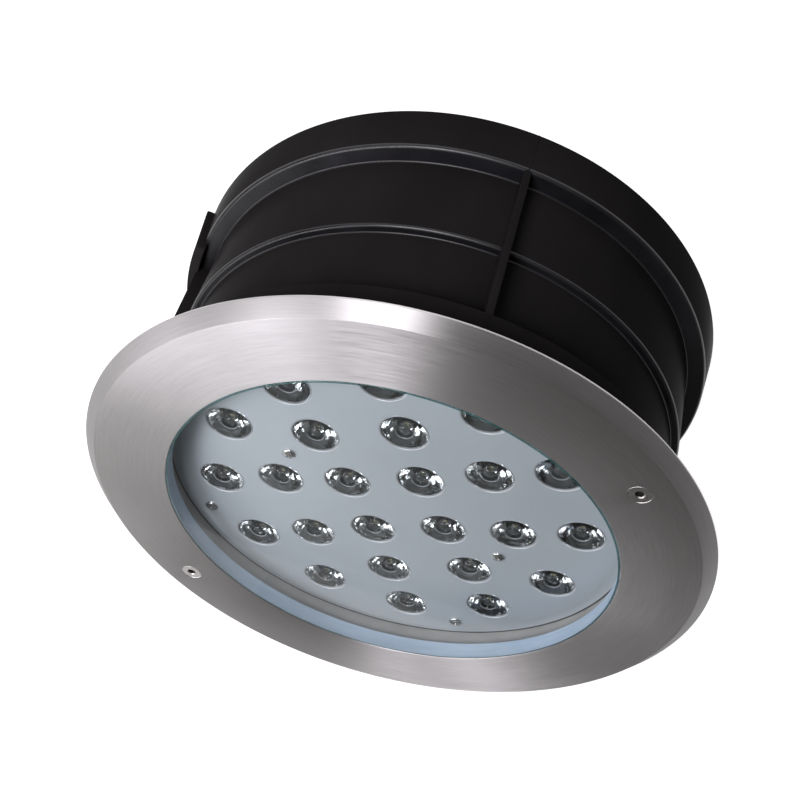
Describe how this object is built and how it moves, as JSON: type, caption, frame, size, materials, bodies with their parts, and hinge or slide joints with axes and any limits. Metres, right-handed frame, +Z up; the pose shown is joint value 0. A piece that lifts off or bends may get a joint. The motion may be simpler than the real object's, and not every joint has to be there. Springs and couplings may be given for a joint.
{
  "type": "in ground well light",
  "caption": "Round recessed ground light: brushed steel ring and thick flush glass over a plate of lenses, sealed finned housing below, held in a stepped black mounting sleeve.",
  "frame": {"origin": "on the axis of the light, at the bottom rim of the mounting sleeve, which stands on the ground bed", "axes": "+Z is up, out of the glass face; +X points through one lens of the inner ring, and the two ring screws lie at 60 and 240 degrees from it"},
  "size_m": [0.33, 0.33, 0.155],
  "materials": {
    "brushed_ring": "circular brushed stainless steel",
    "bright_steel": "bright stainless steel",
    "clear_glass": "clear toughened glass",
    "pale_silicone": "pale blue-white silicone",
    "cast_aluminium": "cast and bead blasted",
    "satin_plate": "satin pale grey",
    "turned_aluminium": "turned",
    "lens_clear": "clear moulded acrylic",
    "led_yellow": "phosphor under silicone",
    "board_dark": "black solder mask on aluminium core",
    "pad_grey": "soft thermal pad",
    "driver_black": "potted case",
    "black_rubber": "matt rubber",
    "gland_nylon": "black nylon",
    "sleeve_black": "satin moulded plastic",
    "insert_brass": "knurled brass"
  },
  "bodies": {
    "sleeve": {"mounting_sleeve": "sleeve_black", "sleeve_inserts": "insert_brass", "sleeve_seal": "black_rubber"},
    "lamp": {"steel_ring": "brushed_ring", "glass_disc": "clear_glass", "glass_gasket": "pale_silicone", "lamp_housing": "cast_aluminium", "clamp_screws": "bright_steel", "led_plate": "satin_plate", "plate_screws": "bright_steel", "plate_standoffs": "turned_aluminium", "lenses_outer": "lens_clear", "lenses_middle": "lens_clear", "lenses_inner": "lens_clear", "led_emitters": "led_yellow", "led_board": "board_dark", "board_screws": "bright_steel", "thermal_pad": "pad_grey", "driver_box": "driver_black", "back_cover": "cast_aluminium", "back_cover_gasket": "black_rubber", "back_cover_screws": "bright_steel", "gland_body": "gland_nylon", "gland_washer": "black_rubber", "gland_locknut": "gland_nylon", "gland_seal": "black_rubber", "gland_nut": "gland_nylon"},
    "ring_screw_a": {"ring_screw_1": "bright_steel"},
    "ring_screw_b": {"ring_screw_2": "bright_steel"}
  },
  "joints": [
    {"name": "lamp_lift", "type": "slide", "parent": "sleeve", "child": "lamp", "axis": [0, 0, 1], "range_m": [0, 0.13]},
    {"name": "screw_a_out", "type": "slide", "parent": "lamp", "child": "ring_screw_a", "axis": [0, 0, 1], "range_m": [0, 0.02]},
    {"name": "screw_b_out", "type": "slide", "parent": "lamp", "child": "ring_screw_b", "axis": [0, 0, 1], "range_m": [0, 0.02]}
  ]
}
